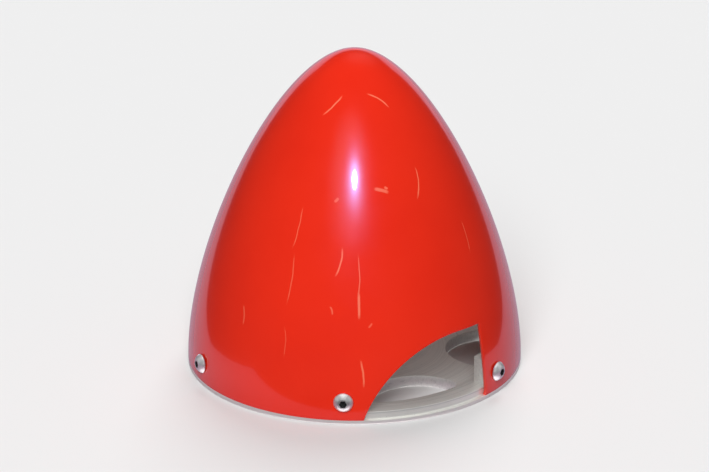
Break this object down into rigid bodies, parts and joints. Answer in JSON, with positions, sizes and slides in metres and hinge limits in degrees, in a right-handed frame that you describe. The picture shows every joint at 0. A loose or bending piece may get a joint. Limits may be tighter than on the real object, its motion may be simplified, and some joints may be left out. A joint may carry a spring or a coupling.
{
  "type": "propeller spinner",
  "caption": "Pointed hollow cone with two open blade cut-outs, screwed around its rim to lugs on a slotted round backplate that clamps behind a propeller hub.",
  "frame": {"origin": "centre of the backplate's rear face, on the shaft axis", "axes": "+Z forward along the shaft to the nose; the blades leave along -Y and +Y; the first fixing lug stands on +X"},
  "size_m": [0.1032, 0.1, 0.0963],
  "materials": {
    "red_gelcoat": "moulded fibreglass shell with a polished red gel coat outside and a bare resin inside",
    "machined_aluminium": "turned and milled, fine tool marks, edges broken",
    "screw_steel": "bright button head, darker thread"
  },
  "bodies": {
    "root": {"cone": "red_gelcoat", "backplate": "machined_aluminium", "cone_screw_1": "screw_steel", "cone_screw_2": "screw_steel", "cone_screw_3": "screw_steel", "cone_screw_4": "screw_steel", "cone_screw_5": "screw_steel", "cone_screw_6": "screw_steel"}
  },
  "joints": []
}
